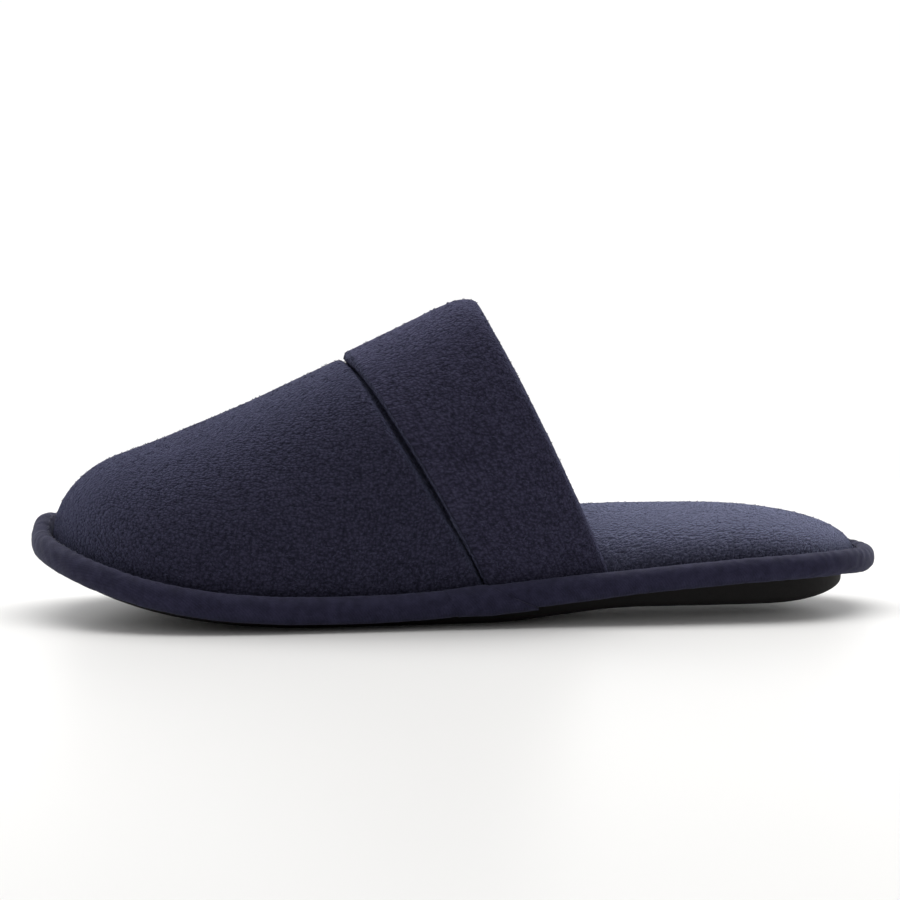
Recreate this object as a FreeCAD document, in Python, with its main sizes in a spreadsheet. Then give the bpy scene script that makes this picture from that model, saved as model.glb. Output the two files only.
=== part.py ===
"""A closed-toe terry slipper, left foot, as a parametric FreeCAD document.

Frame: millimetres, +Z up, the toe towards -X, the heel towards +X, the outer (lateral) side towards -Y.
The origin is on the floor, under the middle of the slipper.

The sole line is the middle of the padded binding that runs right round the sole. In plan it is one closed
spline, and seen from the side its height over the floor is sole_height(x): low at the ball of the foot,
sprung up at the toe and carried on a wedge at the heel. Every piece is placed from that line.
"""
import FreeCAD, Part
import math
import os

Vector = FreeCAD.Vector

SIZES = (
    # alias, value in mm (or a plain number), what it is
    ("overall_length", 290.0, "toe to heel, over the binding"),
    ("toe_offset", 8.0, "toe tip stands this far to the inner side"),
    ("toe_outer", 26.0, "sole line's half width beside the toe tip, outer side"),
    ("toe_inner", 30.0, "the same, inner side"),
    ("shoulder_outer", 43.0, "half width at the toe's shoulder, outer side"),
    ("shoulder_inner", 44.0, "the same, inner side"),
    ("ball_outer", 51.5, "half width at the ball, outer side"),
    ("ball_inner", 50.5, "the same, inner side"),
    ("waist_outer", 43.5, "half width at the waist, outer side"),
    ("waist_inner", 38.5, "the same, inner side"),
    ("heel_side", 38.3, "half width at the heel"),
    ("heel_back", 29.0, "half width near the back of the heel"),
    ("ball_height", 7.0, "floor to sole line at the ball"),
    ("toe_spring", 17.0, "further rise of the sole line at the toe tip"),
    ("toe_spring_start", -45.0, "X where the toe starts to rise"),
    ("heel_rise", 11.0, "further rise of the sole line at the heel"),
    ("heel_rise_start", -35.0, "X where the heel starts to rise"),
    ("heel_rise_end", 130.0, "X where the heel is level again"),
    ("binding_width", 7.0, "binding section, across"),
    ("binding_height", 8.8, "binding section, upright"),
    ("tape_wall", 0.9, "binding tape thickness"),
    ("edge_gap", 0.1, "sole line's inner wall to the layers' edges"),
    ("lap_length", 20.0, "turned tape end at the outer waist"),
    ("lap_middle", 6.0, "X of the turned tape end"),
    ("lap_slant", 7.0, "half the slant of its ends"),
    ("outsole_inset", 8.0, "sole line to outsole edge, in plan"),
    ("board_inset", 11.8, "sole line to stiffening board edge, in plan"),
    ("outsole_under", 2.6, "sole line down to the top of the outsole"),
    ("outsole_flat_end", 5.0, "X where the outsole leaves the floor behind the ball"),
    ("outsole_heel_lift", 4.2, "outsole's hollow under the heel"),
    ("outsole_hollow_end", 58.0, "X where the hollow is at its full height"),
    ("outsole_heel_roll", 4.5, "further lift at the very heel"),
    ("outsole_roll_start", 100.0, "X where that further lift starts"),
    ("outsole_roll_length", 34.5, "length of that further lift"),
    ("outsole_round", 2.5, "outsole bottom edge radius"),
    ("blank_height", 60.0, "blank that the sole pieces are cut from"),
    ("groove_depth", 1.4, "tread groove depth"),
    ("groove_wide", 2.4, "tread groove width"),
    ("groove_pitch", 8.0, "tread groove spacing"),
    ("groove_fore_start", -100.0, "X of the first tread groove at the forefoot"),
    ("groove_fore_count", 14, "how many there are"),
    ("groove_fore_length", 62.0, "how long they are"),
    ("groove_heel_start", 60.0, "X of the first tread groove at the heel"),
    ("groove_heel_count", 7, "how many there are"),
    ("groove_heel_length", 40.0, "how long they are"),
    ("cloth_thick", 0.8, "sole backing cloth"),
    ("board_thick", 2.0, "stiffening board"),
    ("flange_thick", 0.9, "edge of the footbed cover in the seam"),
    ("terry_thick", 1.5, "terry cloth, loops pressed"),
    ("vamp_foam_thick", 3.0, "foam in the vamp"),
    ("lining_thick", 0.8, "vamp lining"),
    ("cuff_proud", 1.5, "cuff stands this far above the vamp"),
    ("cuff_foam_thick", 4.5, "foam in the cuff"),
    ("nose_start", -113.3, "X where the toe cap starts to round off"),
    ("ridge_height", 55.1, "floor to vamp ridge at nose_start"),
    ("ridge_slope", 0.3836, "ridge slope there"),
    ("ridge_curve", 0.00057, "ridge curvature, per mm"),
    ("seam_ridge_x", -37.9, "cuff seam where it crosses the ridge"),
    ("seam_foot_x", 7.5, "cuff seam where it meets the sole line"),
    ("seam_bulge", 1.6, "cuff seam's curve towards the heel"),
    ("opening_ridge_x", 3.7, "opening edge at the ridge"),
    ("opening_foot_x", 49.1, "opening edge at the sole line"),
    ("opening_bulge", 1.1, "opening edge's curve towards the heel"),
    ("opening_corner", 8.0, "how far the opening's top corner is rounded"),
    ("footbed_fore", 13.5, "footbed crown over the sole line, at the ball"),
    ("footbed_heel", 35.5, "footbed crown over the floor, at the heel"),
    ("footbed_slope_start", -60.0, "X where the crown leaves the first height"),
    ("footbed_slope_end", 42.0, "X where it is at the second height"),
    ("thread_radius", 0.25, "sewing thread"),
    ("stitch_length", 2.6, "length of one stitch"),
    ("stitch_pitch", 4.0, "stitch spacing"),
)

doc = FreeCAD.newDocument("slipper")
sheet = doc.addObject("Spreadsheet::Sheet", "sizes")
for row, (alias, value, note) in enumerate(SIZES, start=1):
    sheet.set(f"A{row}", note)
    sheet.set(f"B{row}", repr(value))
    sheet.setAlias(f"B{row}", alias)
doc.recompute()


def size(alias):
    """One driving dimension, read from the spreadsheet."""
    return float(sheet.get(alias))


# Lengths that follow from the driving dimensions.
HALF_LENGTH = (size("overall_length") - size("binding_width")) / 2
EDGE_INSET = size("binding_width") / 2 + size("edge_gap")
UPPER_THICK = size("terry_thick") + size("vamp_foam_thick") + size("lining_thick")
CUFF_THICK = 2 * size("terry_thick") + size("cuff_foam_thick")
SOLE_TOP = -size("outsole_under") + size("cloth_thick")
BOARD_TOP = SOLE_TOP + size("board_thick")
FLANGE_TOP = SOLE_TOP + size("flange_thick")
NOSE_POWER = 2.68
UPPER_POWER = 2.1
FOOTBED_POWER = 2.6
HEEL_ROUND_START = 82.0
OVAL_DEPTH = 9.0
CUT_SHARES = (0.0, 0.22, 0.5, 0.78, 1.0)
REACH = 200.0


def smooth(x, start, end, skew=1.0):
    """0 before start, 1 after end, and a smooth step between them; a skew under 1 brings the rise forward."""
    t = min(1.0, max(0.0, (x - start) / (end - start))) ** skew
    return t * t * (3 - 2 * t)


def sole_height(x):
    """Height of the sole line over the floor."""
    start = size("toe_spring_start")
    ahead = max(0.0, (start - x) / (start + HALF_LENGTH))
    heel = smooth(x, size("heel_rise_start"), size("heel_rise_end"), 0.88)
    return size("ball_height") + size("toe_spring") * ahead**2.4 + size("heel_rise") * heel


def outsole_bottom(x):
    """Height of the outsole's underside: flat at the ball, sprung at the toe, hollow and rolled at the heel."""
    toe = sole_height(min(x, size("toe_spring_start"))) - size("ball_height")
    lift = size("outsole_heel_lift") * smooth(x, size("outsole_flat_end"), size("outsole_hollow_end"))
    rolled = max(0.0, (x - size("outsole_roll_start")) / size("outsole_roll_length"))
    return toe + lift + size("outsole_heel_roll") * rolled**2.5


def ridge_height(x):
    """Height of the upper's outer surface along its ridge, before the toe rounds off."""
    ahead = x - size("nose_start")
    return size("ridge_height") + size("ridge_slope") * ahead + size("ridge_curve") * ahead**2


# ---------------------------------------------------------------- plan of the sole

def spline(points, closed=False):
    curve = Part.BSplineCurve()
    curve.interpolate(Points=points, PeriodicFlag=closed)
    return curve


def plan_points():
    """The sole line in plan, from the toe tip round the outer side."""
    outer = (
        (-0.93, "toe_outer"),
        (-0.80, "shoulder_outer"),
        (-0.36, "ball_outer"),
        (0.20, "waist_outer"),
        (0.65, "heel_side"),
        (0.88, "heel_back"),
    )
    inner = (
        (0.88, "heel_back"),
        (0.65, "heel_side"),
        (0.15, "waist_inner"),
        (-0.46, "ball_inner"),
        (-0.82, "shoulder_inner"),
        (-0.95, "toe_inner"),
    )
    points = [Vector(-HALF_LENGTH, size("toe_offset"), 0)]
    points += [Vector(share * HALF_LENGTH, -size(alias), 0) for share, alias in outer]
    points += [Vector(HALF_LENGTH, 0, 0)]
    points += [Vector(share * HALF_LENGTH, size(alias), 0) for share, alias in inner]
    return points


PLANS = {}


def plan_curve(inset=0.0):
    """The sole line in plan, moved inwards by inset."""
    if inset not in PLANS:
        line = spline(plan_points(), closed=True)
        moved = []
        for point in plan_points():
            tangent = line.tangent(line.parameter(point))[0]
            inwards = Vector(0, 0, 1).cross(tangent).normalize()
            moved.append(point + inwards * inset)
        PLANS[inset] = spline(moved, closed=True)
    return PLANS[inset]


def plan_samples(inset, count=720):
    """Points all round the inset sole line, the first one again at the end."""
    curve = plan_curve(inset)
    first, last = curve.FirstParameter, curve.LastParameter
    return [curve.value(first + (last - first) * i / count) for i in range(count + 1)]


def plan_span(inset, x):
    """The outer and inner Y of the inset sole line at x."""
    ys = []
    points = plan_samples(inset)
    for a, b in zip(points, points[1:]):
        if (a.x - x) * (b.x - x) <= 0 and a.x != b.x:
            ys.append(a.y + (b.y - a.y) * (x - a.x) / (b.x - a.x))
    return min(ys), max(ys)


def plan_ends(inset):
    """The foremost and rearmost points of the inset sole line."""
    points = plan_samples(inset)
    return min(points, key=lambda p: p.x), max(points, key=lambda p: p.x)


# ---------------------------------------------------------------- cutters

def side_region(outline):
    """A solid right across the slipper, from a closed outline of points and splines in the XZ plane."""
    face = Part.Face(Part.Wire(outline))
    face.translate(Vector(0, -REACH, 0))
    return face.extrude(Vector(0, 2 * REACH, 0))


def edges_through(corners):
    return [Part.makeLine(a, b) for a, b in zip(corners, corners[1:])]


def above_sole(offset):
    """Everything higher than the sole line plus offset."""
    points = [Vector(x, 0, sole_height(x) + offset) for x in range(-160, 161, 10)]
    curve = spline(points)
    low, high = points[0], points[-1]
    corners = [high, Vector(high.x, 0, REACH), Vector(low.x, 0, REACH), low]
    return side_region([curve.toShape()] + edges_through(corners))


def cut_line(ridge_x, foot_x, bulge, shift=0.0):
    """A slanting line across the upper seen from the side, from above the ridge to below the floor."""
    top = Vector(ridge_x, 0, ridge_height(ridge_x))
    foot = Vector(foot_x, 0, sole_height(foot_x))
    along = (foot - top).normalize()
    heelwards = Vector(-along.z, 0, along.x)
    if heelwards.x < 0:
        heelwards = -heelwards
    points = [top - along * 30]
    for share in CUT_SHARES:
        points.append(top + (foot - top) * share + heelwards * bulge * 4 * share * (1 - share))
    points.append(foot + along * 40)
    return [p + heelwards * shift for p in points]


def ahead_of(points):
    """Everything on the toe side of a slanting line."""
    curve = spline(points)
    high, low = points[0], points[-1]
    corners = [low, Vector(-REACH, 0, low.z), Vector(-REACH, 0, high.z), high]
    return side_region([curve.toShape()] + edges_through(corners))


def seam_line(shift=0.0):
    return cut_line(size("seam_ridge_x"), size("seam_foot_x"), size("seam_bulge"), shift)


def opening_line(shift=0.0):
    """The opening's edge, with its top corner rounded off towards the toe."""
    line = cut_line(size("opening_ridge_x"), size("opening_foot_x"), size("opening_bulge"), shift)
    down = (line[2] - line[1]).normalize()
    slope = ridge_height(size("opening_ridge_x")) - ridge_height(size("opening_ridge_x") - 1)
    toewards = Vector(-1, 0, -slope).normalize()
    corner = line[1] - down * (size("cuff_proud") + shift)
    reach = size("opening_corner") + shift
    outwards = Vector(-slope, 0, 1)
    rounded = [
        corner + toewards * 3 * reach + outwards * 4,
        corner + toewards * reach + outwards * 0.1,
        corner + (toewards + down) * reach * 0.3,
        corner + down * reach,
    ]
    return rounded + line[2:]


# ---------------------------------------------------------------- domes

def half_oval(x, middle, half, base, rise, power, upper, count=13):
    """The upper or lower half of a superellipse across the slipper at x."""
    points = []
    for i in range(count):
        angle = math.pi * i / (count - 1) + (0 if upper else math.pi)
        c, s = math.cos(angle), math.sin(angle)
        across = math.copysign(abs(c) ** (2 / power), c)
        up = math.copysign(abs(s) ** (2 / power), s)
        points.append(Vector(x, middle + half * across, base + up * rise))
    return spline(points).toShape()


def section(x, inset, rise, power):
    """One closed cross-section of a dome: a tall upper half and a shallow lower one."""
    outer, inner = plan_span(inset, x)
    middle, half = (outer + inner) / 2, (inner - outer) / 2
    upper = half_oval(x, middle, half, sole_height(x), rise, power, True)
    lower = half_oval(x, middle, half, sole_height(x), min(rise, OVAL_DEPTH), 2.0, False)
    return Part.Wire([upper, lower])


def rounding(x, start, tip, power):
    """1 up to start, then a superellipse down to 0 at the tip."""
    t = min(1.0, max(0.0, (x - start) / (tip - start)))
    return (1 - t**power) ** (1 / power)


def upper_rise(x, inset, proud):
    """Height of the inset upper's ridge over the sole line."""
    tip = plan_ends(EDGE_INSET + inset)[0].x
    height = ridge_height(x) - sole_height(x) - inset + proud
    return height * rounding(x, size("nose_start"), tip, NOSE_POWER)


def upper_dome(inset, proud=0.0):
    """The solid under the upper's outer surface, inset by that much; proud lifts its ridge only."""
    tip = plan_ends(EDGE_INSET + inset)[0]
    start = Vector(tip.x, tip.y, sole_height(tip.x))
    sections = [Part.Vertex(start)]
    for step in (1.0, 4.0, 9.0, 17.0, 29.0, 50.0, 80.0, 115.0, 150.0, 180.0, 205.0):
        x = start.x + step
        sections.append(section(x, EDGE_INSET + inset, upper_rise(x, inset, proud), UPPER_POWER))
    return Part.makeLoft(sections, True, False, False, 3)


def footbed_rise(x, inset):
    """Height of the footbed's crown over the sole line."""
    toe, heel = (end.x for end in plan_ends(EDGE_INSET + inset))
    heelwards = smooth(x, size("footbed_slope_start"), size("footbed_slope_end"))
    crown = size("footbed_fore") * (1 - heelwards) + (size("footbed_heel") - sole_height(x)) * heelwards
    ends = rounding(x, size("nose_start"), toe, 2.1) * rounding(x, HEEL_ROUND_START, heel, 2.1)
    return (crown - inset) * ends


def footbed_dome(inset):
    """The solid under the footbed's surface, inset by that much."""
    toe, heel = plan_ends(EDGE_INSET + inset)
    stations = [toe.x + step for step in (1.0, 4.0, 10.0, 20.0, 34.0, 60.0, 95.0, 130.0, 165.0, 200.0)]
    stations += [heel.x - step for step in (52.0, 34.0, 20.0, 10.0, 4.0, 1.0)]
    sections = [Part.Vertex(Vector(toe.x, toe.y, sole_height(toe.x)))]
    for x in stations:
        sections.append(section(x, EDGE_INSET + inset, footbed_rise(x, inset), FOOTBED_POWER))
    sections.append(Part.Vertex(Vector(heel.x, heel.y, sole_height(heel.x))))
    return Part.makeLoft(sections, True, False, False, 3)


def largest(shape):
    return max(shape.Solids, key=lambda solid: solid.Volume)


# ---------------------------------------------------------------- document objects

NODES = []


def add_feature(name, shape):
    """One free-form sub-part."""
    feature = doc.addObject("Part::Feature", name)
    feature.Label = name
    feature.Shape = shape
    feature.Placement = FreeCAD.Placement()
    NODES.append(feature)
    return feature


def add_body(name):
    body = doc.addObject("PartDesign::Body", name)
    body.Label = name
    NODES.append(body)
    return body


def add_sketch(body, name, role):
    """A sketch on one of the body's own origin planes."""
    plane = [f for f in body.Origin.OriginFeatures if f.Role == role][0]
    sketch = body.newObject("Sketcher::SketchObject", name)
    sketch.AttachmentSupport = (plane, [""])
    sketch.MapMode = "FlatFace"
    return sketch


def check_it_cut(feature, before):
    """Stops the build if a feature took nothing off the volume there was before it."""
    doc.recompute()
    after = feature.Shape.Volume
    if after > before - 1:
        raise RuntimeError(f"{feature.Name} cut nothing: {before:.0f} to {after:.0f} mm3")


def profile(height, start=-160.0, end=160.0):
    """A spline along a height given as a function of X, with that height's own slope at both ends."""
    count = max(6, int((end - start) / 10))
    xs = [start + (end - start) * i / count for i in range(count + 1)]
    curve = Part.BSplineCurve()
    tangents = [Vector(10, 10 * (height(x + 0.5) - height(x - 0.5)), 0) for x in (start, end)]
    points = [Vector(x, height(x), 0) for x in xs]
    curve.interpolate(Points=points, InitialTangent=tangents[0], FinalTangent=tangents[1], Scale=True)
    return curve


def side_pocket(body, name, curves, upwards):
    """Cuts away all that lies above (or below) a run of curves from the toe to the heel."""
    before = body.Shape.Volume
    sketch = add_sketch(body, f"{name}_profile", "XZ_Plane")
    for curve in curves:
        sketch.addGeometry(curve, False)
    far = REACH if upwards else -REACH
    low, high = curves[0].value(curves[0].FirstParameter), curves[-1].value(curves[-1].LastParameter)
    corners = [high, Vector(high.x, far, 0), Vector(low.x, far, 0), low]
    for a, b in zip(corners, corners[1:]):
        sketch.addGeometry(Part.LineSegment(a, b), False)
    pocket = body.newObject("PartDesign::Pocket", name)
    pocket.Profile = sketch
    pocket.SideType = "Symmetric"
    pocket.Type = "ThroughAll"
    check_it_cut(pocket, before)


def sole_slab(name, inset, bottom, top):
    """A layer of the sole: its plan is the inset sole line; bottom and top are side-view curves."""
    body = add_body(name)
    plan = add_sketch(body, f"{name}_plan", "XY_Plane")
    plan.AttachmentOffset = FreeCAD.Placement(Vector(0, 0, -10), FreeCAD.Rotation())
    plan.addGeometry(plan_curve(inset), False)
    blank = body.newObject("PartDesign::Pad", f"{name}_blank")
    blank.Profile = plan
    blank.setExpression("Length", "sizes.blank_height")
    doc.recompute()
    side_pocket(body, f"{name}_top_cut", top, True)
    side_pocket(body, f"{name}_bottom_cut", bottom, False)
    return body


# ---------------------------------------------------------------- sole pieces

def round_bottom_edge(body, name, alias):
    """Rounds the edge between the wall and the underside."""
    tip = body.Tip
    wanted = []
    for index, edge in enumerate(tip.Shape.Edges, start=1):
        middle = edge.valueAt((edge.FirstParameter + edge.LastParameter) / 2)
        if abs(middle.z - outsole_bottom(middle.x)) < 0.4:
            wanted.append(f"Edge{index}")
    before = body.Shape.Volume
    fillet = body.newObject("PartDesign::Fillet", name)
    fillet.Base = (tip, wanted)
    fillet.setExpression("Radius", f"sizes.{alias}")
    check_it_cut(fillet, before)


def cut_grooves(body, place):
    """Cross grooves in the tread at the forefoot or the heel, all cut to one depth from the underside."""
    name = f"{place}_grooves"
    before = body.Shape.Volume
    sketch = add_sketch(body, f"{name}_profile", "XZ_Plane")
    half = size("groove_wide") / 2
    for i in range(int(size(f"groove_{place}_count"))):
        x = size(f"groove_{place}_start") + size("groove_pitch") * i
        floor = outsole_bottom(x)
        low, high = floor - 3.0, floor + size("groove_depth")
        corners = [Vector(x - half, low, 0), Vector(x + half, low, 0), Vector(x + half, high, 0)]
        corners += [Vector(x - half, high, 0), Vector(x - half, low, 0)]
        for a, b in zip(corners, corners[1:]):
            sketch.addGeometry(Part.LineSegment(a, b), False)
    pocket = body.newObject("PartDesign::Pocket", name)
    pocket.Profile = sketch
    pocket.SideType = "Symmetric"
    pocket.Type = "Length"
    pocket.setExpression("Length", f"sizes.groove_{place}_length")
    check_it_cut(pocket, before)


def make_outsole():
    """The moulded sole with its rounded edge and cross grooves."""
    flat_start, flat_end = size("toe_spring_start"), size("outsole_flat_end")
    underside = [
        profile(outsole_bottom, -160.0, flat_start),
        Part.LineSegment(Vector(flat_start, 0, 0), Vector(flat_end, 0, 0)),
        profile(outsole_bottom, flat_end, 160.0),
    ]
    top = [profile(lambda x: sole_height(x) - size("outsole_under"))]
    body = sole_slab("outsole", size("outsole_inset"), underside, top)
    round_bottom_edge(body, "outsole_round", "outsole_round")
    cut_grooves(body, "fore")
    cut_grooves(body, "heel")


def make_sole_layers():
    """The cloth that closes the sole underneath, and the board on it."""
    under = [profile(lambda x: sole_height(x) - size("outsole_under"))]
    middle = [profile(lambda x: sole_height(x) + SOLE_TOP)]
    over = [profile(lambda x: sole_height(x) + BOARD_TOP)]
    sole_slab("backing_cloth", EDGE_INSET, under, middle)
    sole_slab("sole_board", size("board_inset"), middle, over)


# ---------------------------------------------------------------- upper pieces

def around_foot():
    """Everything ahead of the opening except the room inside the upper."""
    thickest = max(UPPER_THICK, CUFF_THICK - size("cuff_proud"))
    return ahead_of(opening_line(0.2)).cut(upper_dome(thickest + 0.1))


def make_vamp():
    """Terry, foam and lining from the toe back to the cuff seam."""
    region = ahead_of(seam_line()).common(above_sole(FLANGE_TOP))
    depth = 0.0
    for name, alias in (
        ("vamp_terry", "terry_thick"),
        ("vamp_foam", "vamp_foam_thick"),
        ("vamp_lining", "lining_thick"),
    ):
        layer = upper_dome(depth).cut(upper_dome(depth + size(alias)))
        add_feature(name, largest(layer.common(region)))
        depth += size(alias)


def make_cuff():
    """A band of terry folded round its foam at the opening."""
    terry, proud = size("terry_thick"), size("cuff_proud")
    floor = above_sole(FLANGE_TOP)
    behind_seam = ahead_of(seam_line())
    band = upper_dome(0.0, proud).cut(upper_dome(CUFF_THICK - proud))
    band = band.common(ahead_of(opening_line())).cut(behind_seam).common(floor)
    filling = upper_dome(terry, proud).cut(upper_dome(CUFF_THICK - proud - terry))
    filling = filling.common(ahead_of(opening_line(-terry))).cut(behind_seam).common(floor)
    add_feature("cuff_foam", largest(filling))
    add_feature("cuff_terry", largest(band.cut(filling)))


# ---------------------------------------------------------------- footbed

def make_footbed():
    """The foam pad on the board, and the terry cover that is pulled over it into the edge seam."""
    around = around_foot()
    inside, outside = footbed_dome(size("terry_thick")), footbed_dome(0.0)
    foam = inside.common(above_sole(BOARD_TOP)).cut(around)
    add_feature("footbed_foam", largest(foam))
    pulled = outside.cut(inside).common(above_sole(FLANGE_TOP)).cut(around)
    rim = Part.Face(Part.Wire(plan_curve(EDGE_INSET).toShape()))
    hole = Part.Face(Part.Wire(plan_curve(size("board_inset")).toShape()))
    flange = rim.cut(hole).extrude(Vector(0, 0, REACH))
    flange = flange.common(above_sole(SOLE_TOP)).cut(above_sole(FLANGE_TOP))
    add_feature("footbed_cover", largest(pulled).fuse(flange))


# ---------------------------------------------------------------- binding

def sole_line_path(count=28):
    """The sole line in space, as one closed spline."""
    points = []
    for p in plan_samples(0.0, count)[:-1]:
        points.append(Vector(p.x, p.y, sole_height(p.x)))
    return spline(points, closed=True)


def binding_sweep(grow):
    """A solid ring along the sole line, with the binding's oval section grown by that much."""
    path = sole_line_path()
    start = path.value(path.FirstParameter)
    along = path.tangent(path.FirstParameter)[0].normalize()
    across = along.cross(Vector(0, 0, 1)).normalize()
    upright = across.cross(along)
    tall = size("binding_height") / 2 + grow
    wide = size("binding_width") / 2 + grow
    oval = Part.Ellipse(start + upright * tall, start + across * wide, start)
    ring = Part.BRepOffsetAPI.MakePipeShell(Part.Wire([path.toShape()]))
    ring.setBiNormalMode(Vector(0, 0, 1))
    ring.add(Part.Wire([oval.toShape()]))
    ring.build()
    ring.makeSolid()
    return ring.shape()


def make_binding():
    """Bias tape round a filler cord, with its turned end lapped over at the outer waist."""
    wall = size("tape_wall")
    outside, core = binding_sweep(0.0), binding_sweep(-wall)
    add_feature("binding_tape", outside.cut(core))
    add_feature("binding_filler_cord", core)
    lapped = binding_sweep(wall).cut(outside)
    inner_side = Part.Face(Part.Wire(plan_curve(0.75 * size("binding_width") / 2).toShape()))
    middle, half, slant = size("lap_middle"), size("lap_length") / 2, size("lap_slant")
    corners = [
        Vector(middle - half - slant, -REACH, 20.0),
        Vector(middle + half - slant, -REACH, 20.0),
        Vector(middle + half + slant, -REACH, 0.0),
        Vector(middle - half + slant, -REACH, 0.0),
    ]
    slab = Part.Face(Part.Wire(edges_through(corners + corners[:1]))).extrude(Vector(0, REACH, 0))
    lapped = lapped.common(slab).cut(inner_side.extrude(Vector(0, 0, REACH)))
    add_feature("binding_lap", largest(lapped))


# ---------------------------------------------------------------- sewing

def stitch(start, end):
    """One stitch: a short straight length of thread."""
    along = end - start
    return Part.makeCylinder(size("thread_radius"), along.Length, start, along)


def stitch_row(points):
    """Stitches of stitch_length every stitch_pitch along a run of points."""
    lengths = [0.0]
    for a, b in zip(points, points[1:]):
        lengths.append(lengths[-1] + (b - a).Length)
    count = int(lengths[-1] / size("stitch_pitch"))

    def at(distance):
        i = max(k for k in range(len(lengths) - 1) if lengths[k] <= distance)
        share = (distance - lengths[i]) / (lengths[i + 1] - lengths[i])
        return points[i] + (points[i + 1] - points[i]) * share

    pitch = lengths[-1] / count
    rows = [stitch(at(i * pitch), at(i * pitch + size("stitch_length"))) for i in range(count)]
    return Part.makeCompound(rows)


def edge_run(inset, offset):
    """Points all the way round, inset from the sole line and offset in height from it."""
    return [Vector(p.x, p.y, sole_height(p.x) + offset) for p in plan_samples(inset)]


def seam_run(count=90):
    """Points along the crease of the cuff seam, on the vamp's outer surface and just ahead of the cuff."""
    line = spline(seam_line(-size("thread_radius") - 0.1))
    start, end = line.FirstParameter, line.LastParameter
    points = []
    for i in range(count + 1):
        angle = math.radians(5 + 170 * i / count)
        low, high = start, end
        for _ in range(40):
            middle = (low + high) / 2
            p = line.value(middle)
            height = upper_rise(p.x, 0.0, 0.0) * math.sin(angle) ** (2 / UPPER_POWER)
            if p.z > sole_height(p.x) + height:
                low = middle
            else:
                high = middle
        p = line.value(low)
        outer, inner = plan_span(EDGE_INSET, p.x)
        c = math.cos(angle)
        across = math.copysign(abs(c) ** (2 / UPPER_POWER), c)
        y = (outer + inner) / 2 + (inner - outer) / 2 * across
        outwards = Vector(0, c, math.sin(angle)) * size("thread_radius")
        points.append(Vector(p.x, y, p.z) + outwards)
    return points


def make_sewing():
    """The lockstitch that closes the edge, as its upper and lower threads, and the cuff seam's thread."""
    radius = size("thread_radius")
    shoulder = math.radians(50)
    in_crease = (size("binding_width") / 2 + radius) * math.cos(shoulder)
    over = (size("binding_height") / 2 + radius) * math.sin(shoulder)
    add_feature("edge_needle_thread", stitch_row(edge_run(in_crease, over)))
    under = -size("outsole_under") - radius
    add_feature("edge_bobbin_thread", stitch_row(edge_run(EDGE_INSET + 1.6, under)))
    add_feature("cuff_seam_thread", stitch_row(seam_run()))


# ---------------------------------------------------------------- build and export

def check(objects):
    for item in objects:
        if "Invalid" in item.State or "Error" in item.State:
            raise RuntimeError(f"{item.Name} failed: {item.State}")
    for node in NODES:
        shape = node.Shape
        if shape.isNull() or not shape.isValid() or shape.Volume <= 0:
            raise RuntimeError(f"{node.Label} has no valid shape")


make_outsole()
make_sole_layers()
make_binding()
make_vamp()
make_cuff()
make_footbed()
make_sewing()
doc.recompute()
check(doc.Objects)
os.makedirs("parts", exist_ok=True)
for node in NODES:
    node.Shape.exportStep(os.path.join("parts", f"{node.Label}.step"))
    print(f"{node.Label:22s} {len(node.Shape.Solids):4d} solids {node.Shape.Volume / 1000:8.2f} cm3")
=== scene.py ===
"""The looks of the terry slipper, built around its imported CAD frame.

Shapes are worked out in millimetres in the CAD frame (+Z up, toe towards -X, outer side towards -Y) and
become metres when their mesh is made. The sole line, the domes and the cut lines are those of the CAD part.
"""

import math
from functools import lru_cache

import bpy
import numpy as np
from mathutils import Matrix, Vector


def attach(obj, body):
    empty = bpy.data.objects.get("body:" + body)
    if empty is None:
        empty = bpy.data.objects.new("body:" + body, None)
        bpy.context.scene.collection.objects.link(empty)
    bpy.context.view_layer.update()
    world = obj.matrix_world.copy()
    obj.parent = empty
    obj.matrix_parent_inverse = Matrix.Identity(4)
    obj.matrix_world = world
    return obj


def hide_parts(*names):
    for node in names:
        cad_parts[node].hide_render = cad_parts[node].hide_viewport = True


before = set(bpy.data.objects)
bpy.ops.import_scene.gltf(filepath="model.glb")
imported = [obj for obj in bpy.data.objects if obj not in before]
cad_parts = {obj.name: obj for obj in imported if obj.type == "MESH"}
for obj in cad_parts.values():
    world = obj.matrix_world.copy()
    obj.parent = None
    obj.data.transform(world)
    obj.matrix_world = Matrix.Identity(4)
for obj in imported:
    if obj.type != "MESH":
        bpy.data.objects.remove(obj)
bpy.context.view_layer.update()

MM = 0.001
SEED = 11

# ---- sizes shared with the CAD part (mm)

HALF_LENGTH = 141.5
PLAN = (
    (-1.0, 8.0), (-0.93, -26.0), (-0.80, -43.0), (-0.36, -51.5), (0.20, -43.5), (0.65, -38.3), (0.88, -29.0),
    (1.0, 0.0), (0.88, 29.0), (0.65, 38.3), (0.15, 38.5), (-0.46, 50.5), (-0.82, 44.0), (-0.95, 30.0),
)
BALL_X, BALL_HEIGHT = -45.0, 7.0
TOE_SPRING, SPRING_LONG, SPRING_POWER = 17.0, 96.5, 2.4
HEEL_RAISE, RAISE_START, RAISE_END, RAISE_SKEW = 11.0, -35.0, 130.0, 0.88
EDGE_INSET = 3.6
SOLE_TOP = -1.8
BOARD_TOP = 0.2
OUTSOLE_UNDER = 2.6

NOSE_START, NOSE_TOP, NOSE_POWER = -113.3, 55.1, 2.68
RIDGE_SLOPE, RIDGE_BEND = 0.3836, 0.00057
OVAL_DEPTH = 9.0
UPPER_POWER = 2.1
CUFF_PROUD, CUFF_DEPTH, CUFF_LONG = 1.5, 6.0, 45.0

CROWN_FRONT, HEEL_TOP = 13.5, 35.5
CROWN_START, CROWN_END = -60.0, 42.0
HEEL_START, TOE_POWER, HEEL_POWER = 82.0, 2.1, 2.3
FOOTBED_POWER = 2.6

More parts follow.
